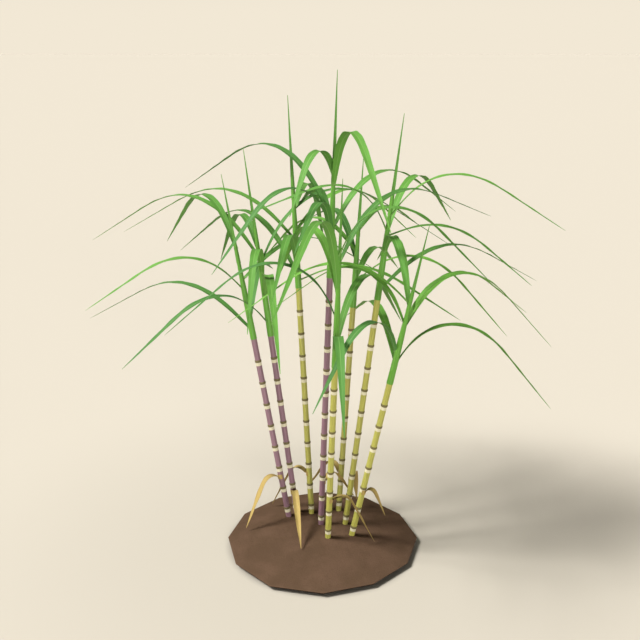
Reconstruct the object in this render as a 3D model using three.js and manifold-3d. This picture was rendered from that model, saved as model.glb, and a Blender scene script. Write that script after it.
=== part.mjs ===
// A clump of eight sugarcane stalks standing in a low round mound of soil.
// Millimetres and degrees, +Z up. The origin is the middle of the mound's flat underside.
// Headings turn anticlockwise from +X, seen from above; the clump's front faces -Y.

import * as THREE from 'three';
import { mergeVertices } from 'three/addons/utils/BufferGeometryUtils.js';
import Module from 'manifold-3d';

const wasm = await Module();
wasm.setup();

// Clearance between pieces that touch.
const gap = 0.35;

// Corners closer than this are one corner.
const mergeTolerance = 1e-3;

// Soil mound: twelve corners, a rim that stands over a slightly smaller foot, a low crown.
const soilCorners = 12;
const soilRadius = 500;
const soilFootRadius = 470;
const soilRimHeight = 26;
const soilPeakHeight = 80;
const soilRowRadii = [0.7, 0.38];
const soilCornerSpread = [1.0, 0.99, 1.0, 1.01, 1.0, 1.0, 1.0, 1.01, 1.03, 1.01, 0.985, 0.985];
const holeDepth = 46;
const holeHeadroom = 90;

// Cane: straight internodes between swollen nodes.
const caneSides = 10;
const caneRadius = 15.4;
const nodeRadius = 17.6;
const nodeHalfHeight = 7;
const nodePitch = 120;
const firstNode = 55;
const footRadius = 14.6;
const pegRadius = 10.5;
const pegLength = 42;

// Crown: leaf sheaths rolled round the growing tip, tapering to the spear leaf.
const sheathSides = 10;
const sheathFootRadius = 16.8;
const sheathMiddleRadius = 14.3;
const sheathTopRadius = 6;
const sheathShare = 0.59;
const spearOverlap = 0.12;
const spearWidth = 22;
const spearSteps = 6;

// Leaf: a channelled blade that rises, bends over and ends in a long straight tip.
const leafSteps = 8;
const leafWidth = 44;
const leafRootWidth = 19;
const leafTipWidth = 2.4;
const leafWidest = 0.35;
const leafFadePower = 1.4;
const leafThickness = 1.8;
const leafChannel = 0.16;
const leafBendEnd = 0.68;
const arcSubsteps = 12;

// Dry leaf: a withered blade whose foot half clasps its cane.
const drySteps = 6;
const dryWidth = 36;
const dryRootPhase = 0.3;
const dryClaspSpan = 180;
const dryClaspHeight = 26;
const dryClaspThickness = 1.8;
const dryClaspSteps = 8;
const dryBendEnd = 0.32;

const purple = 0x8a6675;
const yellow = 0xb4b45a;
const leafGreen = 0x6aa544;
const strawColour = 0xd9ae66;
const soilColour = 0x735844;

// One row for each stalk, from left to right.
// foot: where the cane leaves the soil; lean: sideways travel for each unit of height;
// nodes: rings on the cane; crown: length from the cane's top to the spear's tip.
// Each leaf: rise above the cane's top, heading, length, lift at the root, droop at the tip.
// dry: height of the clasp above the foot, heading, length, lift, droop.
const stalks = [
  {
    foot: [-183, 145], lean: [-0.173, 0.05], nodes: 8, crown: 855, colour: purple,
    leaves: [
      [40, 145, 1370, 35, 28],
      [105, 85, 960, 48, 19],
      [255, 187, 930, 50, 33],
      [310, 54, 1400, 27, 28],
      [475, 120, 1180, 50, 37],
    ],
    dry: [255, 215, 360, 33, 63],
  },
  {
    foot: [-142, 190], lean: [-0.127, 0.035], nodes: 8, crown: 970, colour: purple,
    leaves: [
      [55, 210, 955, 54, 37],
      [200, 276, 1340, 40, 17],
      [305, 266, 780, 71, 52],
      [375, 25, 1410, 65, 32],
      [410, 144, 1450, 47, 28],
      [450, 113, 850, 48, 47],
    ],
    dry: [141, 277, 430, 45, 28],
  },
  {
    foot: [-60, 167], lean: [-0.051, 0.068], nodes: 10, crown: 963, colour: yellow,
    leaves: [
      [35, 349, 910, 28, 31],
      [55, 264, 1030, 66, 23],
      [65, 125, 1510, 43, 29],
      [240, 146, 1370, 41, 27],
      [290, 48, 1190, 38, 35],
      [400, 75, 830, 39, 59],
    ],
    dry: [252, 150, 390, 31, 62],
  },
  {
    foot: [-9, 42], lean: [0.031, -0.054], nodes: 11, crown: 962, colour: purple,
    leaves: [
      [190, 254, 720, 71, 27],
      [190, 105, 790, 61, 25],
      [225, 48, 1200, 51, 29],
      [235, 217, 890, 67, 47],
      [275, 132, 1410, 55, 26],
      [425, 282, 1170, 64, 33],
      [480, 243, 600, 66, 53],
    ],
    dry: [274, 48, 370, 38, 52],
  },
  {
    foot: [27, -90], lean: [0.029, -0.171], nodes: 8, crown: 913, colour: yellow,
    leaves: [
      [75, 272, 820, 49, 39],
      [100, 66, 1185, 59, 41],
      [235, 178, 1050, 70, 41],
      [355, 258, 1390, 72, 19],
      [370, 114, 1100, 65, 48],
      [520, 38, 1140, 60, 21],
      [560, 350, 880, 69, 44],
    ],
    dry: [258, 3, 372, 29, 62],
  },
  {
    foot: [88, 207], lean: [0.064, 0.121], nodes: 9, crown: 793, colour: yellow,
    leaves: [
      [130, 351, 1010, 44, 48],
      [140, 72, 1090, 25, 27],
      [245, 105, 1020, 45, 17],
      [285, 131, 1000, 40, 40],
      [400, 54, 690, 36, 27],
    ],
    dry: [234, 127, 420, 49, 50],
  },
  {
    foot: [120, 50], lean: [0.119, -0.01], nodes: 10, crown: 900, colour: yellow,
    leaves: [
      [40, 37, 1300, 34, 27],
      [225, 276, 680, 49, 26],
      [315, 354, 800, 24, 39],
      [330, 188, 800, 70, 20],
      [335, 63, 1120, 53, 35],
      [405, 355, 980, 55, 32],
    ],
    dry: [280, 79, 320, 30, 64],
  },
  {
    foot: [151, -59], lean: [0.198, -0.087], nodes: 7, crown: 810, colour: yellow,
    leaves: [
      [85, 356, 1030, 61, 50],
      [115, 104, 980, 50, 27],
      [140, 228, 850, 74, 49],
      [260, 15, 1105, 71, 47],
      [285, 40, 1110, 51, 34],
      [305, 153, 960, 70, 37],
      [405, 95, 1140, 50, 26],
      [415, 168, 1050, 46, 37],
    ],
    dry: [287, 341, 192, 58, 63],
  },
];

const up = new THREE.Vector3(0, 0, 1);

function degrees(angle) {
  return THREE.MathUtils.degToRad(angle);
}

function smooth(x) {
  return THREE.MathUtils.smoothstep(x, 0, 1);
}

// A closed solid through a row of like rings, with both ends filled.
// Quads from the ring's corner flipFrom onwards are split along their other diagonal.
function loft(rings, flipFrom = Infinity) {
  const count = rings[0].length;
  const positions = rings.flat().flatMap((point) => [point.x, point.y, point.z]);
  const triangles = [];
  for (let row = 0; row + 1 < rings.length; row += 1) {
    for (let corner = 0; corner < count; corner += 1) {
      const next = (corner + 1) % count;
      const a = row * count + corner;
      const b = row * count + next;
      const c = a + count;
      const d = b + count;
      if (corner < flipFrom) triangles.push(a, b, d, a, d, c);
      else triangles.push(a, b, c, b, d, c);
    }
  }
  const last = (rings.length - 1) * count;
  for (let low = 0, high = count - 1; high - low > 1; ) {
    const inner = low + 1;
    triangles.push(low, high, inner);
    triangles.push(last + low, last + inner, last + high);
    low = inner;
    if (high - low > 1) {
      triangles.push(low, high, high - 1);
      triangles.push(last + low, last + high - 1, last + high);
      high -= 1;
    }
  }
  const geometry = new THREE.BufferGeometry();
  geometry.setAttribute('position', new THREE.Float32BufferAttribute(positions, 3));
  geometry.setIndex(triangles);
  return geometry;
}

function solidFrom(geometry) {
  const merged = mergeVertices(geometry, mergeTolerance);
  const vertProperties = new Float32Array(merged.attributes.position.array);
  const triVerts = new Uint32Array(merged.index.array);
  return new wasm.Manifold(new wasm.Mesh({ numProp: 3, vertProperties, triVerts }));
}

// The largest body alone: sealed hollows are filled and loose scraps dropped.
function geometryFrom(solid) {
  const bodies = solid.decompose();
  const mesh = bodies.reduce((best, body) => (body.volume() > best.volume() ? body : best)).getMesh();
  const geometry = new THREE.BufferGeometry();
  geometry.setAttribute('position', new THREE.BufferAttribute(mesh.vertProperties, 3));
  geometry.setIndex(new THREE.BufferAttribute(mesh.triVerts, 1));
  return geometry;
}

// A stalk's straight axis: a point at a height along it, and its two cross directions.
function stalkAxis(stalk) {
  const direction = new THREE.Vector3(stalk.lean[0], stalk.lean[1], 1).normalize();
  const across = new THREE.Vector3().crossVectors(new THREE.Vector3(0, 1, 0), direction).normalize();
  const forward = new THREE.Vector3().crossVectors(direction, across);
  const foot = new THREE.Vector3(stalk.foot[0], stalk.foot[1], soilHeightAt(stalk.foot));
  const at = (distance) => foot.clone().addScaledVector(direction, distance);
  const ring = (distance, radius, sides) => Array.from({ length: sides }, (_, side) => {
    const turn = (2 * Math.PI * side) / sides;
    return at(distance)
      .addScaledVector(across, radius * Math.cos(turn))
      .addScaledVector(forward, radius * Math.sin(turn));
  });
  const caneTop = firstNode + stalk.nodes * nodePitch;
  return { direction, across, forward, at, ring, caneTop };
}

// The mound's height falls from its peak to its rim as a parabola.
function soilHeightAt([x, y]) {
  const share = Math.min(1, Math.hypot(x, y) / soilRadius);
  return soilPeakHeight - (soilPeakHeight - soilRimHeight) * share * share;
}

function soilRing(radius, height) {
  return soilCornerSpread.map((spread, corner) => {
    const turn = (2 * Math.PI * corner) / soilCorners;
    const reach = radius * spread;
    return new THREE.Vector3(reach * Math.cos(turn), reach * Math.sin(turn), height);
  });
}

function soilGeometry() {
  const rows = [soilRing(soilFootRadius, 0), soilRing(soilRadius, soilRimHeight)];
  for (const share of soilRowRadii) {
    rows.push(soilRing(soilRadius * share, soilHeightAt([soilRadius * share, 0])));
  }
  let solid = solidFrom(loft(rows));
  for (const stalk of stalks) {
    const axis = stalkAxis(stalk);
    const hole = [-holeDepth - gap, holeHeadroom].map((distance) => {
      return axis.ring(distance, footRadius + gap, caneSides);
    });
    solid = solid.subtract(solidFrom(loft(hole)));
  }
  return geometryFrom(solid);
}

function caneGeometry(stalk) {
  const axis = stalkAxis(stalk);
  const rings = [axis.ring(-holeDepth, footRadius, caneSides)];
  rings.push(axis.ring(nodeHalfHeight, footRadius, caneSides));
  for (let node = 0; node < stalk.nodes; node += 1) {
    const height = firstNode + node * nodePitch;
    rings.push(axis.ring(height - nodeHalfHeight, caneRadius, caneSides));
    rings.push(axis.ring(height, nodeRadius, caneSides));
    rings.push(axis.ring(height + nodeHalfHeight, caneRadius, caneSides));
  }
  rings.push(axis.ring(axis.caneTop, caneRadius, caneSides));
  rings.push(axis.ring(axis.caneTop, pegRadius, caneSides));
  rings.push(axis.ring(axis.caneTop + pegLength, pegRadius, caneSides));
  return loft(rings);
}

// A channelled blade: two faces, each with an edge, a sunken midrib line and an edge.
// centres, sides and normals run along the blade; widths gives its breadth at each step.
function blade(centres, sides, normals, widths) {
  const rings = centres.map((centre, step) => {
    const half = widths[step] / 2;
    const edge = (way) => centre.clone()
      .addScaledVector(sides[step], way * half)
      .addScaledVector(normals[step], half * leafChannel);
    const top = [edge(1), centre.clone(), edge(-1)];
    const under = top.map((point) => point.clone().addScaledVector(normals[step], -leafThickness));
    return [...top, ...under.reverse()];
  });
  return loft(rings, 3);
}

// The blade's elevation eases from its lift to its droop by the share bendEnd of its length.
function arcFrames(root, heading, length, lift, droop, steps, bendEnd) {
  const out = new THREE.Vector3(Math.cos(degrees(heading)), Math.sin(degrees(heading)), 0);
  const side = new THREE.Vector3().crossVectors(up, out);
  const centres = [];
  const normals = [];
  const sides = [];
  const point = root.clone();
  const slices = steps * arcSubsteps;
  for (let count = 0; count <= slices; count += 1) {
    const angle = degrees(lift - (lift + droop) * smooth(count / slices / bendEnd));
    if (count % arcSubsteps === 0) {
      centres.push(point.clone());
      sides.push(side);
      normals.push(up.clone().multiplyScalar(Math.cos(angle)).addScaledVector(out, -Math.sin(angle)));
    }
    point.addScaledVector(out, (Math.cos(angle) * length) / slices);
    point.addScaledVector(up, (Math.sin(angle) * length) / slices);
  }
  return { centres, sides, normals };
}

// Breadth grows in a quarter wave to the widest place, then runs out to a fine tip.
function leafBreadth(share) {
  if (share < leafWidest) {
    const grown = Math.sin((share / leafWidest) * (Math.PI / 2));
    return leafRootWidth + (leafWidth - leafRootWidth) * grown;
  }
  const fade = ((share - leafWidest) / (1 - leafWidest)) ** leafFadePower;
  return leafWidth + (leafTipWidth - leafWidth) * fade;
}

function leafGeometry(axis, [rise, heading, length, lift, droop]) {
  const root = axis.at(axis.caneTop + rise);
  const frames = arcFrames(root, heading, length, lift, droop, leafSteps, leafBendEnd);
  const widths = frames.centres.map((_, step) => leafBreadth(step / leafSteps));
  return blade(frames.centres, frames.sides, frames.normals, widths);
}

// The spear goes straight on along the stalk, folded lengthwise and narrowing to a point.
function spearGeometry(stalk, axis) {
  const start = axis.caneTop + stalk.crown * (sheathShare - spearOverlap);
  const end = axis.caneTop + stalk.crown;
  const shares = Array.from({ length: spearSteps + 1 }, (_, step) => step / spearSteps);
  const centres = shares.map((share) => axis.at(THREE.MathUtils.lerp(start, end, share)));
  const sides = shares.map(() => axis.across.clone().negate());
  const normals = shares.map(() => axis.forward.clone().negate());
  const widths = shares.map((share) => leafTipWidth + (spearWidth - leafTipWidth) * (1 - share));
  return blade(centres, sides, normals, widths);
}

function crownGeometry(stalk) {
  const axis = stalkAxis(stalk);
  const foot = axis.caneTop + gap;
  const top = axis.caneTop + stalk.crown * sheathShare;
  const sheath = loft([
    axis.ring(foot, sheathFootRadius, sheathSides),
    axis.ring((foot + top) / 2, sheathMiddleRadius, sheathSides),
    axis.ring(top, sheathTopRadius, sheathSides),
  ]);
  const socket = loft([
    axis.ring(foot - pegLength, pegRadius + gap, sheathSides),
    axis.ring(axis.caneTop + pegLength + gap, pegRadius + gap, sheathSides),
  ]);
  let solid = solidFrom(sheath).add(solidFrom(spearGeometry(stalk, axis)));
  for (const leaf of stalk.leaves) solid = solid.add(solidFrom(leafGeometry(axis, leaf)));
  return geometryFrom(solid.subtract(solidFrom(socket)));
}

// The withered leaf: a half sleeve round the cane and a blade that hangs from it.
function dryLeafGeometry(stalk) {
  const axis = stalkAxis(stalk);
  const [height, heading, length, lift, droop] = stalk.dry;
  const inner = (caneRadius + gap) / Math.cos(degrees(dryClaspSpan / dryClaspSteps / 2));
  const outer = inner + dryClaspThickness;
  const out = new THREE.Vector3(Math.cos(degrees(heading)), Math.sin(degrees(heading)), 0);
  const middle = Math.atan2(out.dot(axis.forward), out.dot(axis.across));
  const around = (radius, turn, distance) => axis.at(distance)
    .addScaledVector(axis.across, radius * Math.cos(turn))
    .addScaledVector(axis.forward, radius * Math.sin(turn));
  const clasp = Array.from({ length: dryClaspSteps + 1 }, (_, step) => {
    const turn = middle + degrees(dryClaspSpan) * (step / dryClaspSteps - 0.5);
    return [
      around(inner, turn, height - dryClaspHeight),
      around(inner, turn, height),
      around(outer, turn, height),
      around(outer, turn, height - dryClaspHeight),
    ];
  });
  const root = around((inner + outer) / 2, middle, height - dryClaspHeight / 2);
  const frames = arcFrames(root, heading, length, lift, droop, drySteps, dryBendEnd);
  const widths = frames.centres.map((_, step) => {
    const phase = dryRootPhase + (1 - dryRootPhase) * (step / drySteps);
    return leafTipWidth + (dryWidth - leafTipWidth) * Math.sin(Math.PI * phase);
  });
  const leaf = blade(frames.centres, frames.sides, frames.normals, widths);
  return geometryFrom(solidFrom(loft(clasp)).add(solidFrom(leaf)));
}

function addPiece(group, name, geometry, colour, roughness) {
  const material = new THREE.MeshStandardMaterial({ color: colour, roughness, metalness: 0 });
  const mesh = new THREE.Mesh(geometry, material);
  mesh.name = name;
  group.add(mesh);
}

const clump = new THREE.Group();
addPiece(clump, 'soil', soilGeometry(), soilColour, 0.95);
stalks.forEach((stalk, index) => {
  const number = index + 1;
  addPiece(clump, `cane_${number}`, caneGeometry(stalk), stalk.colour, 0.45);
  addPiece(clump, `crown_${number}`, crownGeometry(stalk), leafGreen, 0.55);
  addPiece(clump, `dry_leaf_${number}`, dryLeafGeometry(stalk), strawColour, 0.8);
});

export default clump;
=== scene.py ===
"""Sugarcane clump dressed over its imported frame.

Run as a script, it builds the mound, the canes, the crowns of leaves and the withered
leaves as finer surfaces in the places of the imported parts, then the floor, lights and camera.
Lengths are metres and angles degrees, +Z is up, and the clump's front faces -Y.
"""

import math
from typing import NamedTuple

import bpy
import numpy as np
from bpy.props import FloatProperty, FloatVectorProperty, IntProperty, PointerProperty
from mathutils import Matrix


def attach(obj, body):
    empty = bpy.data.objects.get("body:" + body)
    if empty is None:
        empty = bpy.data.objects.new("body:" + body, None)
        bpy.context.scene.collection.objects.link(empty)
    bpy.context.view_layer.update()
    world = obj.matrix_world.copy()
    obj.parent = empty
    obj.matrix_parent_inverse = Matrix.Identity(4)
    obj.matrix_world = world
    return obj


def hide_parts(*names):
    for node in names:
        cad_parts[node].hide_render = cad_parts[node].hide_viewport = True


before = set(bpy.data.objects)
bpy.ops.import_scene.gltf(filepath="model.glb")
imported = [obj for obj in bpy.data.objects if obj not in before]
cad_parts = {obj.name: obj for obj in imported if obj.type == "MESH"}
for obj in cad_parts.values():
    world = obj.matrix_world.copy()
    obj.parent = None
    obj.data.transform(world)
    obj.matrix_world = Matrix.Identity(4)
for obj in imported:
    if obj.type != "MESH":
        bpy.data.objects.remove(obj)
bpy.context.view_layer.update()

bl_info = {
    "name": "Sugarcane Clump",
    "version": (1, 0, 0),
    "blender": (4, 5, 0),
    "location": "3D View > Sidebar > Sugarcane",
    "description": "Builds a clump of sugarcane stalks standing in a low mound of soil",
    "category": "Add Mesh",
}

BODY = "root"
UP = np.array([0.0, 0.0, 1.0])

# How far each corner of the mound's rim stands out, anticlockwise from +X.
RIM_SPREAD = np.array([1.0, 0.99, 1.0, 1.01, 1.0, 1.0, 1.0, 1.01, 1.03, 1.01, 0.985, 0.985])
# Steps along each side of the rim.
RIM_STEPS = 14
# Rings of the overhanging rim: share of the rim's radius, and drop below the rim's height.
RIM_LIP = ((0.994, 0.006), (1.0, 0.001))
# Rings of the mound's top as shares of the rim's radius: its edge, then in to the middle.
TOP_EDGE = 0.995
TOP_SHARES = np.linspace(0.985, 0.012, 76)
# Share of the rim's radius where the crumbs begin, and the share over which they grow.
CRUMB_EDGE, CRUMB_FADE = 0.996, 0.03
# Waves of the crumbs: a weight, then for each of two sines its factors of x and y and its phase.
CRUMB_WAVES = (
    (1.0, 61, 23, 0.0, -19, 37, 1.0),
    (0.6, 143, -71, 2.0, 59, 127, 0.0),
    (0.35, 311, 203, 0.0, -177, 287, 0.5),
)

# Rings near a cane's node: shares of the node's half height, of the pale band and of the pitch.
NODE_LEVELS = np.array([1.0, 0.97, 0.88, 0.72, 0.5, 0.25])
WAX_LEVELS = np.array([0.25, 0.45, 0.65, 0.85, 1.05])
STEM_LEVELS = np.array([-0.42, -0.32, 0.1, 0.2, 0.32, 0.44])
# Half the blur of the pale band's lower and upper edge.
WAX_BLUR = (0.0008, 0.0006)
# How far outside and inside a node's edge its dark ring fades.
RING_BLUR = (0.0008, 0.0012)
# Share of the pale band that lies between a node and its bud.
BUD_SEAT = 0.45
# Height over and under the foot of a withered leaf where buds are pressed flat.
BUD_CLEARANCE = 0.012

# Rings of the sheaths as shares of their height. The first is the lip at the foot.
SHEATH_SHARES = np.concatenate([[0.0, 0.0], np.linspace(0.02, 1.0, 32)])
# Place of the sheaths' finish in a crown's list of finishes.
SHEATH_FINISH = 1

# Steps along a leaf and along a withered leaf, and every how many of them carry a ring.
LEAF_STEPS, DRY_STEPS, RING_EVERY = 96, 72, 2
# Rings of a spear leaf, and its youth.
SPEAR_RINGS, SPEAR_YOUTH = 25, 0.45
# Powers of a leaf's channel across it, and of its twist and its narrowing along it.
CHANNEL_POWER, TWIST_POWER, FADE_POWER = 1.3, 1.5, 1.4
# Half the midrib's breadth as a share of the blade's.
RIB_SHARE = 0.2
# Length of a ripple of the margins, and how far its phase shifts for each metre of leaf.
RIPPLE_PITCH, RIPPLE_PHASE = 0.12, 3.7

# Corners of a withered leaf's foot round the cane, and up its wall.
CLASP_TURNS, CLASP_LEVELS = 25, 6
# Share of its thickness that the foot loses towards its top.
CLASP_TAPER = 0.5
# Turn on the foot that is painted as a blade's margin, in radians.
CLASP_MARGIN = 1.6
# Waves of the foot's torn edge: the factors of its sine and cosine, and the sine's phase.
TEAR_WAVES = (5.3, 8.1, 1.0)

# Strength of the relief of every finish.
RELIEF_STRENGTH = 0.6
# Cells along a side of the floor.
FLOOR_CELLS = 8
# Heights of a ray of length one between which the light turns from sky to zenith.
HORIZON = (0.03, 0.35)
# Distant lights: settings field of the strength, spread in degrees, and the way the rays run.
SUNS = (
    ("key", 20, (0.86, 0.15, -1.0)),
    ("fill", 30, (-0.25, 1.0, -0.1)),
    ("rim", 20, (0.66, -0.37, -1.0)),
)


class Stalk(NamedTuple):
    """Where a stalk stands, how it leans, and what grows on it.

    foot is where the cane leaves the soil, and lean its sideways travel for each unit of height.
    nodes counts the rings on the cane, and crown runs from the cane's top to the spear's tip.
    Each leaf is rise above the cane's top, heading, length, lift at the root, droop at the tip,
    and youth from 0 for an old leaf of deep green to 1 for a young one of light green.
    dry is the clasp's height above the foot, heading, length, lift and droop.
    """

    foot: tuple
    lean: tuple
    nodes: int
    crown: float
    finish: str
    leaves: tuple
    dry: tuple


STALKS = (
    Stalk(
        (-0.183, 0.145), (-0.173, 0.05), 8, 0.855, "purple",
        (
            (0.04, 145, 1.37, 35, 28, 0.1),
            (0.105, 85, 0.96, 48, 19, 0.1),
            (0.255, 187, 0.93, 50, 33, 0.6),
            (0.31, 54, 1.4, 27, 28, 0.3),
            (0.475, 120, 1.18, 50, 37, 0.4),
        ),
        (0.255, 215, 0.36, 33, 63),
    ),
    Stalk(
        (-0.142, 0.19), (-0.127, 0.035), 8, 0.97, "purple",
        (
            (0.055, 210, 0.955, 54, 37, 0.0),
            (0.2, 276, 1.34, 40, 17, 0.6),
            (0.305, 266, 0.78, 71, 52, 0.5),
            (0.375, 25, 1.41, 65, 32, 0.1),
            (0.41, 144, 1.45, 47, 28, 0.5),
            (0.45, 113, 0.85, 48, 47, 0.3),
        ),
        (0.141, 277, 0.43, 45, 28),
    ),
    Stalk(
        (-0.06, 0.167), (-0.051, 0.068), 10, 0.963, "yellow",
        (
            (0.035, 349, 0.91, 28, 31, 0.7),
            (0.055, 264, 1.03, 66, 23, 0.4),
            (0.065, 125, 1.51, 43, 29, 0.3),
            (0.24, 146, 1.37, 41, 27, 0.5),
            (0.29, 48, 1.19, 38, 35, 0.8),
            (0.4, 75, 0.83, 39, 59, 0.4),
        ),
        (0.252, 150, 0.39, 31, 62),
    ),
    Stalk(
        (-0.009, 0.042), (0.031, -0.054), 11, 0.962, "purple",
        (
            (0.19, 254, 0.72, 71, 27, 0.1),
            (0.19, 105, 0.79, 61, 25, 0.2),
            (0.225, 48, 1.2, 51, 29, 0.4),
            (0.235, 217, 0.89, 67, 47, 0.0),
            (0.275, 132, 1.41, 55, 26, 0.1),
            (0.425, 282, 1.17, 64, 33, 0.6),
            (0.48, 243, 0.6, 66, 53, 0.4),
        ),
        (0.274, 48, 0.37, 38, 52),
    ),
    Stalk(
        (0.027, -0.09), (0.029, -0.171), 8, 0.913, "yellow",
        (
            (0.075, 272, 0.82, 49, 39, 0.2),
            (0.1, 66, 1.185, 59, 41, 0.4),
            (0.235, 178, 1.05, 70, 41, 0.0),
            (0.355, 258, 1.39, 72, 19, 0.5),
            (0.37, 114, 1.1, 65, 48, 0.8),
            (0.52, 38, 1.14, 60, 21, 0.1),
            (0.56, 350, 0.88, 69, 44, 0.4),
        ),
        (0.258, 3, 0.372, 29, 62),
    ),
    Stalk(
        (0.088, 0.207), (0.064, 0.121), 9, 0.793, "yellow",
        (
            (0.13, 351, 1.01, 44, 48, 0.9),
            (0.14, 72, 1.09, 25, 27, 0.5),
            (0.245, 105, 1.02, 45, 17, 0.0),
            (0.285, 131, 1.0, 40, 40, 0.7),
            (0.4, 54, 0.69, 36, 27, 0.4),
        ),
        (0.234, 127, 0.42, 49, 50),
    ),
    Stalk(
        (0.12, 0.05), (0.119, -0.01), 10, 0.9, "yellow",
        (
            (0.04, 37, 1.3, 34, 27, 0.2),
            (0.225, 276, 0.68, 49, 26, 0.4),
            (0.315, 354, 0.8, 24, 39, 0.5),
            (0.33, 188, 0.8, 70, 20, 0.4),
            (0.335, 63, 1.12, 53, 35, 0.5),
            (0.405, 355, 0.98, 55, 32, 0.7),
        ),
        (0.28, 79, 0.32, 30, 64),
    ),
    Stalk(
        (0.151, -0.059), (0.198, -0.087), 7, 0.81, "yellow",
        (
            (0.085, 356, 1.03, 61, 50, 0.7),
            (0.115, 104, 0.98, 50, 27, 0.7),
            (0.14, 228, 0.85, 74, 49, 0.0),
            (0.26, 15, 1.105, 71, 47, 0.8),
            (0.285, 40, 1.11, 51, 34, 0.9),
            (0.305, 153, 0.96, 70, 37, 0.9),
            (0.405, 95, 1.14, 50, 26, 0.6),
            (0.415, 168, 1.05, 46, 37, 0.9),
        ),
        (0.287, 341, 0.192, 58, 63),
    ),
)


def paint(red, green, blue):
    """The linear colour of a screen colour given in 0 to 255."""
    shares = (red / 255, green / 255, blue / 255)
    return tuple(s / 12.92 if s <= 0.04045 else ((s + 0.055) / 1.055) ** 2.4 for s in shares)


def toned(tint, factor):
    """A colour made darker or lighter, with no part of it above 1."""
    return tuple(min(1.0, factor * part) for part in tint)


def float_field(**kind):
    """A maker of settings fields for one kind of number."""
    def field(name, description, default):
        return FloatProperty(name=name, description=description, default=default, **kind)
    return field


# Lengths are in metres, angles in radians and a camera's measures in millimetres.
length = float_field(min=0.0, precision=4, subtype="DISTANCE", unit="LENGTH")
angle = float_field(subtype="ANGLE", unit="ROTATION")
share = float_field(min=0.0, subtype="FACTOR")
strength = float_field(min=0.0)
optic = float_field(min=1.0, unit="CAMERA")


def colour(name, description, default):
    """A settings field for a colour."""
    return FloatVectorProperty(
        name=name, description=description, default=default, size=3, min=0.0, max=1.0,
        subtype="COLOR",
    )


class MoundSettings(bpy.types.PropertyGroup):
    """Sizes and colours of the soil."""

    rim_radius: length("Rim radius", "From the middle to a corner of the rim", 0.5)
    foot_radius: length("Foot radius", "From the middle to a corner of the underside", 0.47)
    rim_height: length("Rim height", "Height of the rim above the floor", 0.026)
    peak_height: length("Peak height", "Height of the mound's middle above the floor", 0.08)
    crumb: length("Crumb height", "Unevenness of the top", 0.0005)
    collar: length("Collar height", "Soil heaped against each cane", 0.003)
    collar_reach: length("Collar reach", "How far the heaped soil spreads from a cane", 0.034)
    earth: colour("Earth", "Packed earth", paint(82, 64, 49))
    damp: colour("Damp earth", "Darker crumbs", paint(72, 55, 42))
    dust: colour("Dust", "Paler crumbs", paint(90, 70, 55))
    # Painted shade: the colour of the mound's side below the rim, standing in for the overhang's
    # shadow.
    shade_below_rim: colour("Shade below rim", "Shaded side below the rim", paint(46, 36, 28))


class CaneSettings(bpy.types.PropertyGroup):
    """Sizes and colours of the canes."""

    radius: length("Radius", "Radius of a cane between its nodes", 0.0154)
    waist: length("Waist", "How much a cane narrows midway between nodes", 0.0003)
    node_radius: length("Node radius", "Radius of the swollen ring at a node", 0.0176)
    node_half: length("Node half height", "Half the height of the swollen ring", 0.007)
    pitch: length("Node pitch", "From one node to the next", 0.12)
    first_node: length("First node", "Height of the lowest node above the foot", 0.055)
    foot_radius: length("Foot radius", "Radius of a cane where it enters the soil", 0.0146)
    depth: length("Depth", "Length of cane under the soil's surface", 0.046)
    wax_height: length("Wax height", "Height of the pale band below a node", 0.0175)
    bud_height: length("Bud height", "How far a bud stands out", 0.0014)
    bud_reach: length("Bud reach", "How far a bud spreads up and down", 0.006)
    bud_spread: angle("Bud spread", "How far a bud spreads round the cane", 0.33)
    bud_turn: angle("Bud turn", "Where round the cane the lowest bud sits", 0.9)
    purple: colour("Purple rind", "Rind of the purple canes", paint(125, 94, 104))
    yellow: colour("Yellow rind", "Rind of the yellow canes", paint(159, 155, 73))
    ring: colour("Ring", "Dark ring of a node", paint(92, 82, 46))
    wax: colour("Wax", "Pale band below a node", paint(194, 187, 158))


class CrownSettings(bpy.types.PropertyGroup):
    """Sizes and colours of the sheaths, leaves and spears."""

    sheath_foot: length("Sheath foot", "Radius of the rolled sheaths at the cane's top", 0.0168)
    sheath_middle: length("Sheath middle", "Radius of the sheaths at half their height", 0.0143)
    sheath_top: length("Sheath top", "Radius where the sheaths end", 0.006)
    sheath_gap: length("Sheath gap", "Clearance between the cane's top and its sheaths", 0.0004)
    sheath_lip: length("Sheath lip", "How far the sheaths' lower edge turns in", 0.0016)
    sheath_share: share("Sheath share", "Share of the crown that is sheath", 0.59)
    spear_overlap: share("Spear overlap", "Share of the crown that is sheath and spear", 0.12)
    spear_width: length("Spear width", "Breadth of the spear leaf at its foot", 0.022)
    leaf_width: length("Leaf width", "Greatest breadth of a leaf", 0.044)
    root_width: length("Root width", "Breadth of a leaf at its root", 0.019)
    tip_width: length("Tip width", "Breadth of a leaf's tip", 0.0024)
    widest: share("Widest place", "Share of a leaf's length where it is broadest", 0.35)
    bend_end: share("Bend end", "Share of a leaf's length by which its bend is done", 0.68)
    channel: share("Channel", "Rise of a leaf's margins for each unit of half breadth", 0.16)
    root_channel: share("Root channel", "What is added to the channel at a leaf's root", 0.5)
    root_reach: length("Root reach", "How far that deeper channel runs along a leaf", 0.035)
    thickness: length("Thickness", "Thickness of a leaf at its midrib", 0.0018)
    margin: length("Margin", "Thickness of a leaf at its margins", 0.0007)
    ripple: length("Ripple", "Height of the waves along a leaf's margins", 0.0012)
    twist: angle(
        "Twist", "Turn of a leaf's tip about its length, towards the front", math.radians(16),
    )
    light: colour("Light green", "Young leaf", paint(103, 157, 57))
    deep: colour("Deep green", "Old leaf", paint(63, 110, 49))
    midrib: colour("Midrib", "Pale midrib and collar", paint(134, 172, 97))
    sheath: colour("Sheath green", "Rolled leaf sheaths", paint(90, 146, 47))


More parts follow.
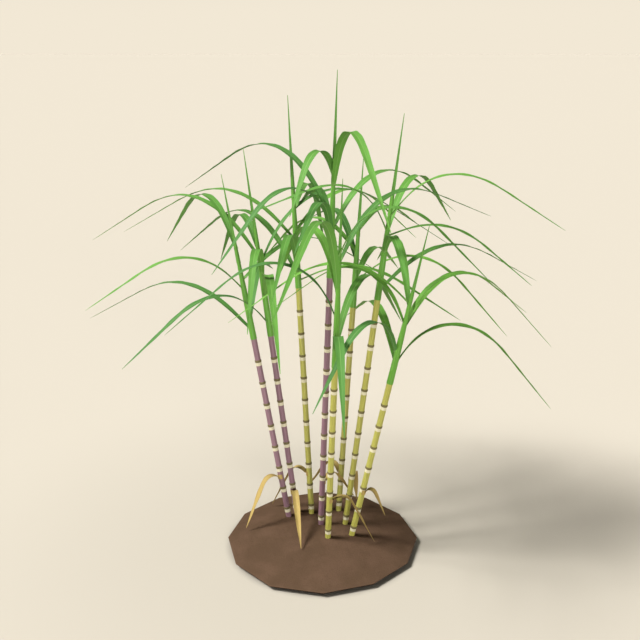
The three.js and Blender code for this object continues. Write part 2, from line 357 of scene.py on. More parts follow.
class DryLeafSettings(bpy.types.PropertyGroup):
    """Sizes and colours of the withered leaves."""

    width: length("Width", "Greatest breadth of a withered leaf", 0.036)
    thickness: length("Thickness", "Thickness of a withered leaf at its midrib", 0.0015)
    margin: length("Margin", "Thickness of a withered leaf at its margins", 0.0008)
    ripple: length("Ripple", "Height of the waves along its margins", 0.0015)
    curl: share("Curl", "What is added to the channel midway along a withered leaf", 0.25)
    clasp_height: length("Clasp height", "Height of the foot that clasps the cane", 0.026)
    clasp_thickness: length("Clasp thickness", "Thickness of the clasping foot", 0.0018)
    clasp_gap: length("Clasp gap", "Clearance between foot and cane", 0.00035)
    tear: length("Tear", "Depth of the tears in the foot's upper edge", 0.0035)
    bend_end: share("Bend end", "Share of the length by which its bend is done", 0.32)
    root_phase: share("Root phase", "How far along its half wave of breadth the root stands", 0.3)
    straw: colour("Straw", "Sunlit straw", paint(160, 138, 80))
    brown: colour("Brown straw", "Fibres and margins", paint(122, 98, 54))


class StageSettings(bpy.types.PropertyGroup):
    """Floor, light and camera."""

    floor: colour("Floor", "Plain pale floor", (0.5345, 0.4865, 0.4035))
    sky: colour("Sky", "Light from all round, low down", paint(242, 232, 213))
    zenith: colour("Zenith", "Light from overhead", (0.03, 0.028, 0.025))
    floor_reach: length("Floor reach", "Half the floor's side", 400.0)
    floor_drop: length("Floor drop", "How far the floor lies below the soil", 0.0005)
    key: strength("Key", "Strength of the light from the left", 5.9)
    fill: strength("Fill", "Strength of the broad light in front", 3.4)
    rim: strength("Rim", "Strength of the soft light behind", 0.25)
    camera_place: FloatVectorProperty(
        name="Camera place", description="Where the camera stands",
        default=(-0.014, -4.165, 2.503), size=3, subtype="TRANSLATION", unit="LENGTH",
    )
    camera_pitch: angle("Camera pitch", "Turn of the camera about X", math.radians(72.99))
    lens: optic("Lens", "Focal length", 50.0)
    sensor: optic("Sensor", "Width of the camera's sensor", 36.0)
    sight: length("Sight", "How far the camera sees", 2000.0)


class ClumpSettings(bpy.types.PropertyGroup):
    """All that a user may change on the clump."""

    cane_sides: IntProperty(
        name="Cane sides", description="Corners round a cane", default=28, min=8,
    )
    leaf_columns: IntProperty(
        name="Leaf columns", description="Corners across a leaf", default=9, min=3,
    )
    mound: PointerProperty(name="Mound", description="Soil", type=MoundSettings)
    cane: PointerProperty(name="Cane", description="Canes", type=CaneSettings)
    crown: PointerProperty(name="Crown", description="Leaves", type=CrownSettings)
    dry: PointerProperty(name="Withered leaf", description="Withered leaves", type=DryLeafSettings)
    stage: PointerProperty(name="Stage", description="Floor, light, camera", type=StageSettings)


class Wire:
    """An output socket with arithmetic: each sign adds a Math node to the same tree."""

    def __init__(self, nodes, socket):
        self.nodes = nodes
        self.socket = socket

    def math(self, operation, *values):
        """The output of a Math node fed with values."""
        sockets = dict(enumerate(values))
        return self.nodes.node("ShaderNodeMath", {"operation": operation}, sockets)

    def __add__(self, other):
        return self.math("ADD", self, other)

    def __sub__(self, other):
        return self.math("SUBTRACT", self, other)

    def __mul__(self, other):
        return self.math("MULTIPLY", self, other)

    def __abs__(self):
        return self.math("ABSOLUTE", self)

    def round(self):
        """The nearest whole number."""
        return self.math("ROUND", self)

    def sine(self):
        """The sine of an angle in radians."""
        return self.math("SINE", self)


class Nodes:
    """A node tree that is added to."""

    def __init__(self, tree):
        self.tree = tree

    def node(self, kind, settings, sockets, output=0):
        """Adds a node: its settings first, then the values or links of its sockets."""
        made = self.tree.nodes.new(kind)
        for name, value in settings.items():
            setattr(made, name, value)
        for key, value in sockets.items():
            if isinstance(value, Wire):
                self.tree.links.new(value.socket, made.inputs[key])
            else:
                made.inputs[key].default_value = value
        return Wire(self, made.outputs[output])

    def coordinates(self, kind):
        """The texture coordinates of a kind, such as Object."""
        return self.node("ShaderNodeTexCoord", {}, {}, kind)

    def attribute(self, name, output):
        """An attribute of the mesh, as a Vector or a plain Fac."""
        return self.node("ShaderNodeAttribute", {"attribute_name": name}, {}, output)

    def parts(self, vector):
        """The three numbers of a vector."""
        first = self.node("ShaderNodeSeparateXYZ", {}, {"Vector": vector})
        return [Wire(self, socket) for socket in first.socket.node.outputs]

    def noise(self, vector, scale, detail):
        """Smooth noise from 0 to 1, with scale waves to each unit of the vector."""
        sockets = {"Vector": vector, "Scale": scale, "Detail": detail}
        return self.node("ShaderNodeTexNoise", {}, sockets)

    def grain(self, vector, scales, detail):
        """Noise drawn out along some axes, with a scale for each of the vector's numbers."""
        settings = {"operation": "MULTIPLY"}
        stretched = self.node("ShaderNodeVectorMath", settings, {0: vector, 1: scales})
        return self.noise(stretched, 1.0, detail)

    def step(self, value, low, high):
        """0 below low, 1 above high, smooth between; falling where low is above high."""
        sockets = {"Value": value, "From Min": low, "From Max": high}
        return self.node("ShaderNodeMapRange", {"interpolation_type": "SMOOTHSTEP"}, sockets)

    def mix(self, amount, first, second):
        """The first colour where amount is 0, the second where it is 1."""
        first, second = (c if isinstance(c, Wire) else (*c, 1.0) for c in (first, second))
        sockets = {0: amount, 6: first, 7: second}
        return self.node("ShaderNodeMix", {"data_type": "RGBA"}, sockets, 2)

    def feed(self, wire, node, socket):
        """Links a wire to a socket of a node in the tree."""
        self.tree.links.new(wire.socket, self.tree.nodes[node].inputs[socket])


class Finish(Nodes):
    """A procedural material under construction, with its Principled shader."""

    def __init__(self, name, constants):
        self.material = bpy.data.materials.new(name)
        self.material.use_nodes = True
        super().__init__(self.material.node_tree)
        for socket, value in constants.items():
            self.tree.nodes["Principled BSDF"].inputs[socket].default_value = value

    def surface(self, base, roughness=None, height=None, depth=0.0):
        """Feeds the shader: colour, roughness where it varies, and relief depth metres deep."""
        self.feed(base, "Principled BSDF", "Base Color")
        if roughness is not None:
            self.feed(roughness, "Principled BSDF", "Roughness")
        if height is not None:
            sockets = {"Strength": RELIEF_STRENGTH, "Distance": depth, "Height": height}
            bump = self.node("ShaderNodeBump", {}, sockets)
            self.feed(bump, "Principled BSDF", "Normal")
        return self.material


def soil_finish(mound):
    """Packed earth: damp and dusty patches under a fine crumb, and painted shade on the side below
    the rim.
    """
    finish = Finish("packed_earth", {"Roughness": 0.95, "Specular IOR Level": 0.0})
    place = finish.coordinates("Object")
    patches = finish.noise(place, scale=9.0, detail=3.0)
    crumbs = finish.noise(place, scale=160.0, detail=4.0)
    grit = finish.noise(place, scale=520.0, detail=2.0)
    base = finish.mix(finish.step(patches, 0.35, 0.7), mound.earth, mound.dust)
    base = finish.mix(finish.step(crumbs, 0.52, 0.75) * 0.7, base, mound.damp)
    height = finish.parts(place)[2]
    # Painted shade: below the rim the side takes the shade colour, as if in the overhang's shadow.
    below = finish.step(height, 0.95 * mound.rim_height, 0.85 * mound.rim_height)
    base = finish.mix(below, base, mound.shade_below_rim)
    return finish.surface(base, height=crumbs + grit * 0.5, depth=0.002)


def rind_finish(name, rind, cane):
    """Waxy rind: fine upright streaks, a dark ring at each node and a pale band below it.

    The place attribute holds the cosine and sine of the turn, and the height above the
    lowest node in pitches, so a node lies wherever its third number is whole.
    """
    finish = Finish(name, {"Specular IOR Level": 0.4})
    place = finish.attribute("place", "Vector")
    height = finish.parts(place)[2]
    rise = (height - height.round()) * cane.pitch
    streaks = finish.grain(place, (9.0, 9.0, 1.6), detail=3.0)
    fibres = finish.grain(place, (40.0, 40.0, 2.5), detail=2.0)
    dark, pale = toned(rind, 0.78), toned(rind, 1.13)
    base = finish.mix(finish.step(streaks, 0.35, 0.65), dark, pale)
    base = finish.mix(finish.step(fibres, 0.55, 0.8) * 0.35, base, dark)
    high = -cane.node_half
    low = high - cane.wax_height
    lower, upper = WAX_BLUR
    band = finish.step(rise, low - lower, low + lower)
    band = band * finish.step(rise, high + upper, high - upper)
    dots = finish.grain(place, (7.0, 7.0, 26.0), detail=1.0)
    dulled = tuple(0.6 * w + 0.4 * r for w, r in zip(cane.wax, rind))
    wax = finish.mix(finish.step(dots, 0.6, 0.72) * 0.5, cane.wax, dulled)
    base = finish.mix(band, base, wax)
    outside, inside = RING_BLUR
    ring = finish.step(abs(rise), cane.node_half + outside, cane.node_half - inside)
    base = finish.mix(ring * 0.95, base, cane.ring)
    roughness = band * 0.3 + ring * 0.2 + 0.42
    return finish.surface(base, roughness, fibres + streaks * 0.5, 0.0006)


def leaf_finish(crown):
    """Leaf blade: fine veins along it, a paler midrib and collar, and a tint of its own.

    The place attribute holds the place across the leaf from -1 to 1, the distance from the
    root, and how far along the leaf it is.
    """
    finish = Finish("leaf_blade", {"Specular IOR Level": 0.2})
    place = finish.attribute("place", "Vector")
    across, distance, along = finish.parts(place)
    base = finish.mix(finish.attribute("tint", "Fac"), crown.deep, crown.light)
    patches = finish.grain(place, (1.2, 9.0, 0.0), detail=3.0)
    base = finish.mix(finish.step(patches, 0.5, 0.8) * 0.4, base, toned(crown.deep, 0.8))
    waver = finish.grain(place, (3.0, 2.0, 0.0), detail=1.0)
    veins = (across * 58.0 + waver * 3.0).sine()
    base = finish.mix(finish.step(veins, 0.2, 1.0) * 0.16, base, crown.midrib)
    rib = finish.step(abs(across), 0.1, 0.02) * finish.step(along, 0.95, 0.5)
    base = finish.mix(rib * 0.5, base, crown.midrib)
    collar = finish.step(distance, 0.05, 0.025)
    base = finish.mix(collar * 0.45, base, crown.midrib)
    return finish.surface(base, patches * 0.2 + 0.5, veins * 0.5 + rib * 1.5, 0.0004)


def sheath_finish(crown):
    """Rolled sheath: upright lines on green, with a paler bloom in places."""
    finish = Finish("leaf_sheath", {"Roughness": 0.5, "Specular IOR Level": 0.35})
    place = finish.attribute("place", "Vector")
    lines = finish.grain(place, (16.0, 16.0, 2.0), detail=3.0)
    bloom = finish.grain(place, (2.0, 2.0, 9.0), detail=2.0)
    base = finish.mix(finish.step(lines, 0.4, 0.65), toned(crown.sheath, 0.82), crown.sheath)
    base = finish.mix(finish.step(bloom, 0.5, 0.8) * 0.3, base, crown.midrib)
    return finish.surface(base, height=lines, depth=0.0006)


def straw_finish(dry):
    """Straw: fibres along the leaf, browner at the margins and the tip."""
    finish = Finish("dry_straw", {"Roughness": 0.8, "Specular IOR Level": 0.25})
    place = finish.attribute("place", "Vector")
    across, _, along = finish.parts(place)
    fibres = finish.grain(place, (9.0, 6.0, 0.0), detail=3.0)
    blotches = finish.grain(place, (1.5, 14.0, 0.0), detail=3.0)
    edge = finish.step(abs(across), 0.7, 1.05)
    base = finish.mix(finish.step(fibres, 0.48, 0.72) * 0.5, dry.straw, dry.brown)
    base = finish.mix(finish.step(blotches, 0.55, 0.8) * 0.4, base, dry.brown)
    base = finish.mix(edge * 0.4 + finish.step(along, 0.75, 1.0) * 0.35, base, dry.brown)
    return finish.surface(base, height=fibres, depth=0.0008)


def floor_finish(stage):
    """Plain pale floor, with painted shade round the clump and a painted contact shadow at the
    mound's rim.
    """
    finish = Finish("pale_floor", {"Roughness": 0.9, "Specular IOR Level": 0.0})
    place = finish.coordinates("Object")
    far = finish.node("ShaderNodeVectorMath", {"operation": "LENGTH"}, {0: place}, "Value")
    # Painted shade: the floor darkens towards the clump, standing in for the plants' shade on it.
    shade = toned(stage.floor, 0.88)
    base = finish.mix(finish.step(far, 0.45, 2.3), shade, stage.floor)
    # Painted contact shadow: a darker ring on the floor just round the mound's rim.
    return finish.surface(finish.mix(finish.step(far, 0.455, 0.525), toned(shade, 0.55), base))


def unit(vector):
    """The vector shortened or lengthened to one."""
    vector = np.asarray(vector, float)
    return vector / np.linalg.norm(vector)


def ease(x):
    """Smooth step 3x^2 - 2x^3, held at 0 below 0 and at 1 above 1."""
    x = np.clip(x, 0.0, 1.0)
    return x * x * (3.0 - 2.0 * x)


def circle(sides):
    """Turns evenly spaced once round, in radians."""
    return 2 * np.pi * np.arange(sides) / sides


def stacked(*numbers):
    """Arrays of one shape joined as vectors."""
    return np.stack(np.broadcast_arrays(*numbers), axis=-1)


def mound_height(plan, mound):
    """Height over the floor at plan places: peak - (peak - rim) * (r / R)^2."""
    reach = np.minimum(1.0, np.linalg.norm(plan, axis=-1) / mound.rim_radius)
    return mound.peak_height - (mound.peak_height - mound.rim_height) * reach**2


class Line(NamedTuple):
    """A stalk's straight line: its foot, its direction, and two directions square to it."""

    foot: np.ndarray
    direction: np.ndarray
    across: np.ndarray
    forward: np.ndarray

    def at(self, heights):
        """foot + height * direction for each height."""
        return self.foot + np.asarray(heights)[..., None] * self.direction

    def round(self, turns):
        """cos(turn) * across + sin(turn) * forward for each turn."""
        turns = np.asarray(turns)[..., None]
        return np.cos(turns) * self.across + np.sin(turns) * self.forward


def stalk_line(stalk, mound):
    """The line from a stalk's foot on the mound along (lean x, lean y, 1)."""
    direction = unit([*stalk.lean, 1.0])
    across = unit(np.cross([0.0, 1.0, 0.0], direction))
    foot = np.array([*stalk.foot, mound_height(np.array(stalk.foot), mound)])
    return Line(foot, direction, across, np.cross(direction, across))


def numbered_stalks(mound):
    """Each stalk with its number from the left, and with its line."""
    return [(n, stalk, stalk_line(stalk, mound)) for n, stalk in enumerate(STALKS, 1)]


def cane_top(stalk, cane):
    """Distance from the foot to the cane's top: one pitch above its highest node."""
    return cane.first_node + stalk.nodes * cane.pitch


class Tube(NamedTuple):
    """Closed rings of corners, their place numbers, their tint, and which finish they wear."""

    points: np.ndarray
    place: np.ndarray
    tint: float = 0.5
    finish: int = 0


def crumb_waves(x, y):
    """The sum over rows of weight * sin(a x + b y + c) * sin(d x + e y + f)."""
    return sum(
        weight * np.sin(a * x + b * y + c) * np.sin(d * x + e * y + f)
        for weight, a, b, c, d, e, f in CRUMB_WAVES
    )


def mound_tube(mound, feet):
    """The mound as rings round +Z: underside, overhanging rim, then the top in to the middle.

    A ring's corner is share * ((1 - f) * corner k + f * corner k+1) in plan. Its height is
    peak - (peak - rim) * share^2, plus a sum of waves for crumbs and a bell of soil at each cane.
    """
    turns = circle(RIM_SPREAD.size)
    rim = mound.rim_radius * RIM_SPREAD[:, None] * stacked(np.cos(turns), np.sin(turns))
    f = (np.arange(RIM_STEPS) / RIM_STEPS)[None, :, None]
    outline = ((1 - f) * rim[:, None] + f * np.roll(rim, -1, axis=0)[:, None]).reshape(-1, 2)
    foot = mound.foot_radius / mound.rim_radius
    lip_shares, lip_drops = zip(*RIM_LIP)
    shares = np.concatenate([[0.5 * foot, foot], lip_shares, [TOP_EDGE], TOP_SHARES])
    heights = mound.peak_height - (mound.peak_height - mound.rim_height) * shares**2
    low = [0.0, 0.0, *(mound.rim_height - drop for drop in lip_drops)]
    heights[:len(low)] = low
    plan = shares[:, None, None] * outline[None]
    x, y = plan[..., 0], plan[..., 1]
    near = np.linalg.norm(plan[:, :, None] - feet[None, None], axis=-1)
    collars = np.exp(-((near / mound.collar_reach) ** 2)).sum(axis=-1)
    uneven = ease((CRUMB_EDGE - shares) / CRUMB_FADE)[:, None]
    uneven[:-TOP_SHARES.size] = 0.0
    z = heights[:, None] + uneven * (mound.crumb * crumb_waves(x, y) + mound.collar * collars)
    points = stacked(x, y, z)
    return Tube(points, points)


def round_tube(line, heights, radii, levels, turns, finish=0):
    """Circles round a line: at its heights, radius * (cos(turn) * across + sin(turn) * forward).

    The place numbers are the turn's cosine and sine, and the level given for each circle.
    """
    points = line.at(heights)[:, None] + radii[..., None] * line.round(turns)[None]
    place = stacked(np.cos(turns)[None], np.sin(turns)[None], levels[:, None])
    return Tube(points, place, finish=finish)


def cane_rings(stalk, cane):
    """Heights of a cane's rings above its foot: its ends, and the same set near each node."""
    close = cane.node_half * NODE_LEVELS
    below = -cane.node_half - cane.wax_height * WAX_LEVELS
    offsets = np.concatenate([-close, close, [0.0], below, cane.pitch * STEM_LEVELS])
    nodes = cane.first_node + cane.pitch * np.arange(stalk.nodes)
    ends = [-cane.depth, 0.0, cane_top(stalk, cane)]
    heights = np.concatenate([ends, (nodes[:, None] + offsets).ravel()])
    return np.unique(np.round(heights, 6))


def cane_tube(stalk, line, settings):
    """A cane as circles round its line.

    With t the distance to the nearest node and h half the ring's height, the radius is
    R - waist * sin(pi t / pitch)^2 + (node radius - R) * sqrt(1 - (t / h)^2), easing to the foot
    radius below the lowest node. A bud swells on alternate sides in the pale band below each
    node, except where the foot of the withered leaf presses it flat.
    """
    cane, dry = settings.cane, settings.dry
    heights = cane_rings(stalk, cane)
    number = np.round((heights - cane.first_node) / cane.pitch)
    t = heights - cane.first_node - number * cane.pitch
    real = (number >= 0) & (number < stalk.nodes)
    swell = np.where(real, np.sqrt(np.clip(1 - (t / cane.node_half) ** 2, 0, 1)), 0.0)
    taper = 1 - ease(heights / (cane.first_node - cane.node_half))
    radii = cane.radius - cane.waist * np.sin(np.pi * t / cane.pitch) ** 2
    radii += (cane.foot_radius - cane.radius) * taper
    radii += (cane.node_radius - cane.radius) * swell
    turns = circle(settings.cane_sides)
    side = np.angle(np.exp(1j * (turns[None] - np.pi * number[:, None] - cane.bud_turn)))
    lift = t + cane.node_half + BUD_SEAT * cane.wax_height
    clasp_middle = stalk.dry[0] - dry.clasp_height / 2
    free = np.abs(heights - lift - clasp_middle) > dry.clasp_height / 2 + BUD_CLEARANCE
    bell = np.exp(-((side / cane.bud_spread) ** 2) - (lift[:, None] / cane.bud_reach) ** 2)
    bud = np.where(real & free, cane.bud_height, 0.0)[:, None] * bell
    levels = (heights - cane.first_node) / cane.pitch
    # Past the last node the level stays midway to the next, so that no ring is painted there.
    levels = np.where(number < stalk.nodes, levels, stalk.nodes - 0.5)
    return round_tube(line, heights, radii[:, None] + bud, levels, turns)


def sheath_tube(stalk, line, settings):
    """The rolled sheaths as circles whose radius runs straight from foot to middle to top."""
    crown = settings.crown
    sizes = [crown.sheath_foot, crown.sheath_middle, crown.sheath_top]
    radii = np.interp(SHEATH_SHARES, [0.0, 0.5, 1.0], sizes)
    radii[0] -= crown.sheath_lip
    levels = stalk.crown * crown.sheath_share * SHEATH_SHARES
    heights = cane_top(stalk, settings.cane) + crown.sheath_gap + levels
    turns = circle(settings.cane_sides)
    return round_tube(line, heights, radii[:, None], levels, turns, SHEATH_FINISH)


class Path(NamedTuple):
    """A blade's middle line with its side and normal directions, and the share of its length."""

    spine: np.ndarray
    side: np.ndarray
    normal: np.ndarray
    share: np.ndarray


def outward(heading):
    """The level direction of a heading in degrees, anticlockwise from +X."""
    turn = math.radians(heading)
    return np.array([math.cos(turn), math.sin(turn), 0.0])


def arc_path(root, heading, run, lift, droop, bend_end, steps):
    """A path of climb e, easing from lift to -droop: sum of ds * (cos e * out + sin e * up)."""
    out = outward(heading)
    shares = np.arange(steps + 1) / steps
    climb = np.radians(lift - (lift + droop) * ease(shares / bend_end))[:, None]
    moves = run / steps * (np.cos(climb) * out + np.sin(climb) * UP)
    spine = root + np.concatenate([np.zeros((1, 3)), np.cumsum(moves[:-1], axis=0)])
    normal = np.cos(climb) * UP - np.sin(climb) * out
    side = np.broadcast_to(np.cross(UP, out), spine.shape)
    return Path(*(part[::RING_EVERY] for part in (spine, side, normal, shares)))


def blade_tube(path, run, half, channel, skin, columns, tint=0.5, ripple=0.0):
    """A blade carried along its path, as thick at midrib and margins as its skin's settings say.

    At u across from -1 to 1 the face is spine + half * u * side + half * channel * |u|^p * normal,
    with a ripple of the margins. The under face lies below it by the margin's thickness plus a
    bell-shaped midrib.
    """
    u = np.linspace(-1.0, 1.0, columns)
    half, channel = half[:, None, None], channel[:, None, None]
    phase = run * (path.share / RIPPLE_PITCH + RIPPLE_PHASE)
    waves = np.sin(2 * np.pi * phase) * np.sin(np.pi * path.share)
    normal = path.normal[:, None]
    across = u[None, :, None]
    face = path.spine[:, None] + half * across * path.side[:, None]
    face = face + (half * channel * np.abs(across) ** CHANNEL_POWER) * normal
    face = face + ripple * (waves[:, None] * u[None] ** 3)[..., None] * normal
    depth = skin.margin + (skin.thickness - skin.margin) * np.exp(-((u / RIB_SHARE) ** 2))
    slim = np.minimum(1.0, half / (2.0 * skin.thickness))
    under = face - slim * depth[None, :, None] * normal
    points = np.concatenate([under, face[:, ::-1]], axis=1)
    around = np.concatenate([u, u[::-1]])
    place = stacked(around[None], (path.share * run)[:, None], path.share[:, None])
    return Tube(points, place, tint)


def leaf_tube(line, foot, leaf, crown, columns):
    """A strap leaf.

    Its breadth grows as a quarter wave to the widest place, then fades as a power to the tip.
    The channel is deep at the root, where the leaf hugs its stalk, and shallow further out.
    The blade turns about its length by twist * cos(heading) * s^p.
    """
    rise, heading, run, lift, droop, youth = leaf
    root = line.at(foot + rise)
    path = arc_path(root, heading, run, lift, droop, crown.bend_end, LEAF_STEPS)
    s = path.share
    turn = (crown.twist * math.cos(math.radians(heading)) * s**TWIST_POWER)[:, None]
    path = path._replace(
        side=np.cos(turn) * path.side + np.sin(turn) * path.normal,
        normal=np.cos(turn) * path.normal - np.sin(turn) * path.side,
    )
    grow = np.sin(np.minimum(s / crown.widest, 1.0) * np.pi / 2)
    fade = np.clip((s - crown.widest) / (1 - crown.widest), 0, 1) ** FADE_POWER
    breadth = crown.root_width + (crown.leaf_width - crown.root_width) * grow
    breadth = breadth + (crown.tip_width - crown.leaf_width) * fade
    channel = crown.channel + crown.root_channel * np.exp(-s * run / crown.root_reach)
    return blade_tube(path, run, breadth / 2, channel, crown, columns, youth, crown.ripple)


def spear_tube(stalk, line, settings):
    """The straight spear leaf, folded lengthwise and narrowing evenly to its tip."""
    crown = settings.crown
    along = np.linspace(0.0, 1.0, SPEAR_RINGS)
    start = stalk.crown * (crown.sheath_share - crown.spear_overlap)
    run = stalk.crown - start
    half = (crown.tip_width + (crown.spear_width - crown.tip_width) * (1 - along)) / 2
    normal = np.broadcast_to(-line.forward, (SPEAR_RINGS, 3))
    side = np.broadcast_to(-line.across, normal.shape)
    heights = cane_top(stalk, settings.cane) + start + run * along
    path = Path(line.at(heights), side, normal, along)
    channel = np.full(SPEAR_RINGS, crown.channel)
    return blade_tube(path, run, half, channel, crown, settings.leaf_columns, SPEAR_YOUTH)


def clasp_tube(line, height, middle, inner, dry):
    """The withered foot: a wall half round the cane, with a torn upper edge.

    The wall's section runs up its inside and down its outside, and is carried round the cane from
    middle - 90 to middle + 90 degrees. Its top falls by
    tear * (1 + sin(a * turn + c) * cos(b * turn)) / 2.
    """
    turns = np.linspace(-np.pi / 2, np.pi / 2, CLASP_TURNS)
    rise = np.linspace(0.0, 1.0, CLASP_LEVELS)
    a, b, c = TEAR_WAVES
    torn = dry.tear * (1 + np.sin(a * turns + c) * np.cos(b * turns)) / 2
    levels = height - dry.clasp_height + rise[None] * (dry.clasp_height - torn)[:, None]
    thin = dry.clasp_thickness * (1 - CLASP_TAPER * rise)
    radii = np.concatenate([np.full(rise.size, inner), (inner + thin)[::-1]])
    levels = np.concatenate([levels, levels[:, ::-1]], axis=1)
    ring = line.round(middle + turns)
    points = line.at(levels) + radii[None, :, None] * ring[:, None]
    up_down = np.concatenate([rise, rise[::-1]])
    across = turns / CLASP_MARGIN
    return Tube(points, stacked(across[:, None], dry.clasp_height * up_down[None], 0.0))


def dry_leaf_tubes(stalk, line, settings):
    """A withered leaf: the clasp, and a blade whose breadth follows part of a half wave."""
    dry, crown = settings.dry, settings.crown
    height, heading, run, lift, droop = stalk.dry
    out = outward(heading)
    middle = math.atan2(out @ line.forward, out @ line.across)
    inner = settings.cane.radius + dry.clasp_gap
    root = line.at(height - dry.clasp_height / 2)
    root = root + (inner + dry.clasp_thickness / 2) * line.round(middle)
    path = arc_path(root, heading, run, lift, droop, dry.bend_end, DRY_STEPS)
    phase = dry.root_phase + (1 - dry.root_phase) * path.share
    half = (crown.tip_width + (dry.width - crown.tip_width) * np.sin(np.pi * phase)) / 2
    channel = crown.channel + dry.curl * np.sin(np.pi * path.share)
    blade = blade_tube(path, run, half, channel, dry, settings.leaf_columns, ripple=dry.ripple)
    return [clasp_tube(line, height, middle, inner, dry), blade]


def tube_faces(rows, columns):
    """Faces of a tube: quads between rings, and at each end a fan to a middle corner.

    The rings' corners come first, row by row, then the start's middle and the end's middle.
    """
    ring = np.arange(columns)
    after = np.roll(ring, -1)
    low = (columns * np.arange(rows - 1))[:, None]
    high = low + columns
    quads = stacked(low + ring, low + after, high + after, high + ring).reshape(-1, 4)
    last = columns * (rows - 1)
    start = stacked(after, ring, rows * columns)
    end = stacked(last + ring, last + after, rows * columns + 1)
    return quads, np.concatenate([start, end])


def with_ends(grid):
    """A grid of rings as one row of vectors, followed by the means of its first and last ring."""
    return np.concatenate([grid.reshape(-1, 3), grid[[0, -1]].mean(axis=1)])


def add_piece(name, tubes, finishes, node, crease):
    """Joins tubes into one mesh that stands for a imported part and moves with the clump's body.

    An edge stays sharp where its faces meet at more than crease degrees.
    """
    corners, places, tints, faces, worn, first = [], [], [], [], [], 0
    for tube in tubes:
        quads, fans = tube_faces(*tube.points.shape[:2])
        corners.append(with_ends(tube.points))
        places.append(with_ends(tube.place))
        tints.append(np.full(len(corners[-1]), tube.tint))
        faces += (quads + first).tolist() + (fans + first).tolist()
        worn.append(np.full(len(quads) + len(fans), tube.finish))
        first += len(corners[-1])
    mesh = bpy.data.meshes.new(name)
    mesh.from_pydata(np.concatenate(corners).tolist(), [], faces)
    place = mesh.attributes.new("place", "FLOAT_VECTOR", "POINT")
    place.data.foreach_set("vector", np.concatenate(places).astype(np.float32).ravel())
    tint = mesh.attributes.new("tint", "FLOAT", "POINT")
    tint.data.foreach_set("value", np.concatenate(tints).astype(np.float32))
    for finish in finishes:
        mesh.materials.append(finish)
    mesh.polygons.foreach_set("material_index", np.concatenate(worn).astype(np.int32))
    mesh.shade_smooth()
    mesh.set_sharp_from_angle(angle=math.radians(crease))
    if mesh.validate():
        raise RuntimeError(f"{name} has faces that don't hold together")
    piece = bpy.data.objects.new(name, mesh)
    bpy.context.scene.collection.objects.link(piece)
    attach(piece, BODY)
    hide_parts(node)


class SUGARCANE_OT_mound(bpy.types.Operator):
    """Build the low mound of soil that the canes stand in."""

    bl_idname = "sugarcane.mound"
    bl_label = "Build Mound"

    def execute(self, context):
        mound = context.scene.sugarcane.mound
        tube = mound_tube(mound, np.array([stalk.foot for stalk in STALKS]))
        add_piece("mound", [tube], [soil_finish(mound)], "soil", crease=40)
        return {"FINISHED"}


class SUGARCANE_OT_canes(bpy.types.Operator):
    """Build the jointed canes."""

    bl_idname = "sugarcane.canes"
    bl_label = "Build Canes"

    def execute(self, context):
        settings = context.scene.sugarcane
        cane = settings.cane
        hues = ("purple", "yellow")
        rinds = {hue: rind_finish(f"{hue}_rind", getattr(cane, hue), cane) for hue in hues}
        for n, stalk, line in numbered_stalks(settings.mound):
            tubes, rind = [cane_tube(stalk, line, settings)], [rinds[stalk.finish]]
            add_piece(f"jointed_cane_{n}", tubes, rind, f"cane_{n}", crease=38)
        return {"FINISHED"}


class SUGARCANE_OT_crowns(bpy.types.Operator):
    """Build each crown: rolled sheaths, strap leaves and the spear leaf."""

    bl_idname = "sugarcane.crowns"
    bl_label = "Build Crowns"

    def execute(self, context):
        settings = context.scene.sugarcane
        crown, columns = settings.crown, settings.leaf_columns
        finishes = [leaf_finish(crown), sheath_finish(crown)]
        for n, stalk, line in numbered_stalks(settings.mound):
            foot = cane_top(stalk, settings.cane)
            tubes = [sheath_tube(stalk, line, settings), spear_tube(stalk, line, settings)]
            tubes += [leaf_tube(line, foot, leaf, crown, columns) for leaf in stalk.leaves]
            add_piece(f"leafy_crown_{n}", tubes, finishes, f"crown_{n}", crease=50)
        return {"FINISHED"}


class SUGARCANE_OT_dry_leaves(bpy.types.Operator):
    """Build the withered leaf low on each cane."""

    bl_idname = "sugarcane.dry_leaves"
    bl_label = "Build Withered Leaves"

    def execute(self, context):
        settings = context.scene.sugarcane
        straw = straw_finish(settings.dry)
        for n, stalk, line in numbered_stalks(settings.mound):
            tubes = dry_leaf_tubes(stalk, line, settings)
            add_piece(f"withered_leaf_{n}", tubes, [straw], f"dry_leaf_{n}", crease=50)
        return {"FINISHED"}


def add_floor(stage):
    """A level floor of square cells, just below the soil."""
    row = FLOOR_CELLS + 1
    grid = np.linspace(-stage.floor_reach, stage.floor_reach, row)
    corners = stacked(grid[None], grid[:, None], -stage.floor_drop).reshape(-1, 3)
    cell = (row * np.arange(FLOOR_CELLS)[:, None] + np.arange(FLOOR_CELLS)).ravel()
    faces = stacked(cell, cell + 1, cell + row + 1, cell + row)
    mesh = bpy.data.meshes.new("floor")
    mesh.from_pydata(corners.tolist(), [], faces.tolist())
    mesh.materials.append(floor_finish(stage))
    floor = bpy.data.objects.new("floor", mesh)
    bpy.context.scene.collection.objects.link(floor)


def add_sun(name, energy, spread, travel):
    """A distant soft light whose rays run along travel, spread over some degrees."""
    lamp = bpy.data.lights.new(name, "SUN")
    lamp.energy = energy
    lamp.angle = math.radians(spread)
    sun = bpy.data.objects.new(name, lamp)
    sun.rotation_mode = "QUATERNION"
    x, y, z = unit(travel)
    # The turn that takes -Z to the rays' direction, about their cross product.
    sun.rotation_quaternion = unit([1 - z, y, -x, 0.0])
    bpy.context.scene.collection.objects.link(sun)


def studio_world(stage):
    """Light from all round: bright low down, dim overhead."""
    world = bpy.data.worlds.new("studio")
    world.use_nodes = True
    nodes = Nodes(world.node_tree)
    height = nodes.parts(nodes.coordinates("Generated"))[2]
    light = nodes.mix(nodes.step(height, *HORIZON), stage.sky, stage.zenith)
    nodes.feed(light, "Background", "Color")
    return world


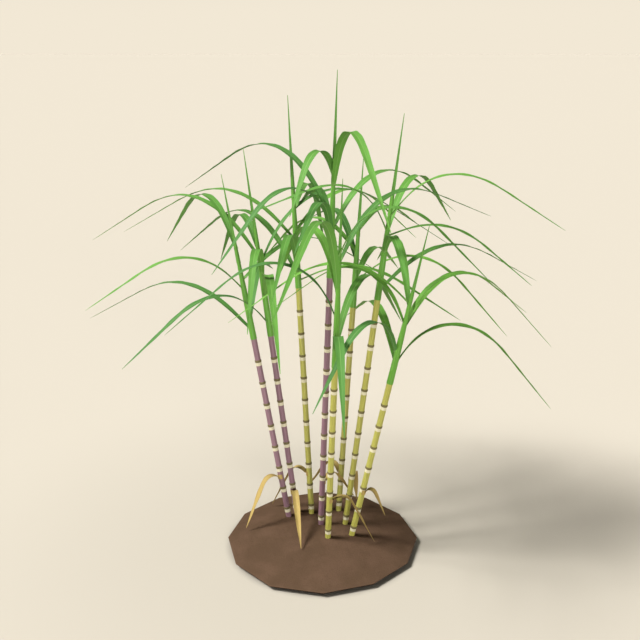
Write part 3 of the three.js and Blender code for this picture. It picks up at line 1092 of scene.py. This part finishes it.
def add_camera(stage):
    """The camera, looking down at the clump's front."""
    lens = bpy.data.cameras.new("camera")
    lens.lens = stage.lens
    lens.sensor_width = stage.sensor
    lens.clip_end = stage.sight
    camera = bpy.data.objects.new("camera", lens)
    camera.location = stage.camera_place
    camera.rotation_euler = (stage.camera_pitch, 0.0, 0.0)
    bpy.context.scene.collection.objects.link(camera)
    return camera


class SUGARCANE_OT_stage(bpy.types.Operator):
    """Set out the floor, the light and the camera."""

    bl_idname = "sugarcane.stage"
    bl_label = "Set Stage"

    def execute(self, context):
        scene = context.scene
        stage = scene.sugarcane.stage
        add_floor(stage)
        for field, spread, travel in SUNS:
            add_sun(f"{field}_light", getattr(stage, field), spread, travel)
        scene.world = studio_world(stage)
        scene.view_settings.view_transform = "Standard"
        scene.camera = add_camera(stage)
        return {"FINISHED"}


class SUGARCANE_PT_clump(bpy.types.Panel):
    """Lists the clump's operators and settings."""

    bl_idname = "SUGARCANE_PT_clump"
    bl_label = "Sugarcane Clump"
    bl_space_type = "VIEW_3D"
    bl_region_type = "UI"
    bl_category = "Sugarcane"

    def draw(self, context):
        settings = context.scene.sugarcane
        for field in ("cane_sides", "leaf_columns"):
            self.layout.prop(settings, field)
        for operator, group in (
            (SUGARCANE_OT_mound, settings.mound),
            (SUGARCANE_OT_canes, settings.cane),
            (SUGARCANE_OT_crowns, settings.crown),
            (SUGARCANE_OT_dry_leaves, settings.dry),
            (SUGARCANE_OT_stage, settings.stage),
        ):
            box = self.layout.box()
            box.operator(operator.bl_idname)
            for field in group.__annotations__:
                box.prop(group, field)


CLASSES = (
    MoundSettings,
    CaneSettings,
    CrownSettings,
    DryLeafSettings,
    StageSettings,
    ClumpSettings,
    SUGARCANE_OT_mound,
    SUGARCANE_OT_canes,
    SUGARCANE_OT_crowns,
    SUGARCANE_OT_dry_leaves,
    SUGARCANE_OT_stage,
    SUGARCANE_PT_clump,
)


def register():
    for entry in CLASSES:
        bpy.utils.register_class(entry)
    bpy.types.Scene.sugarcane = PointerProperty(type=ClumpSettings)


def unregister():
    del bpy.types.Scene.sugarcane
    for entry in reversed(CLASSES):
        bpy.utils.unregister_class(entry)


def main():
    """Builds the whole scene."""
    register()
    bpy.ops.sugarcane.mound()
    bpy.ops.sugarcane.canes()
    bpy.ops.sugarcane.crowns()
    bpy.ops.sugarcane.dry_leaves()
    bpy.ops.sugarcane.stage()


if __name__ == "__main__":
    main()
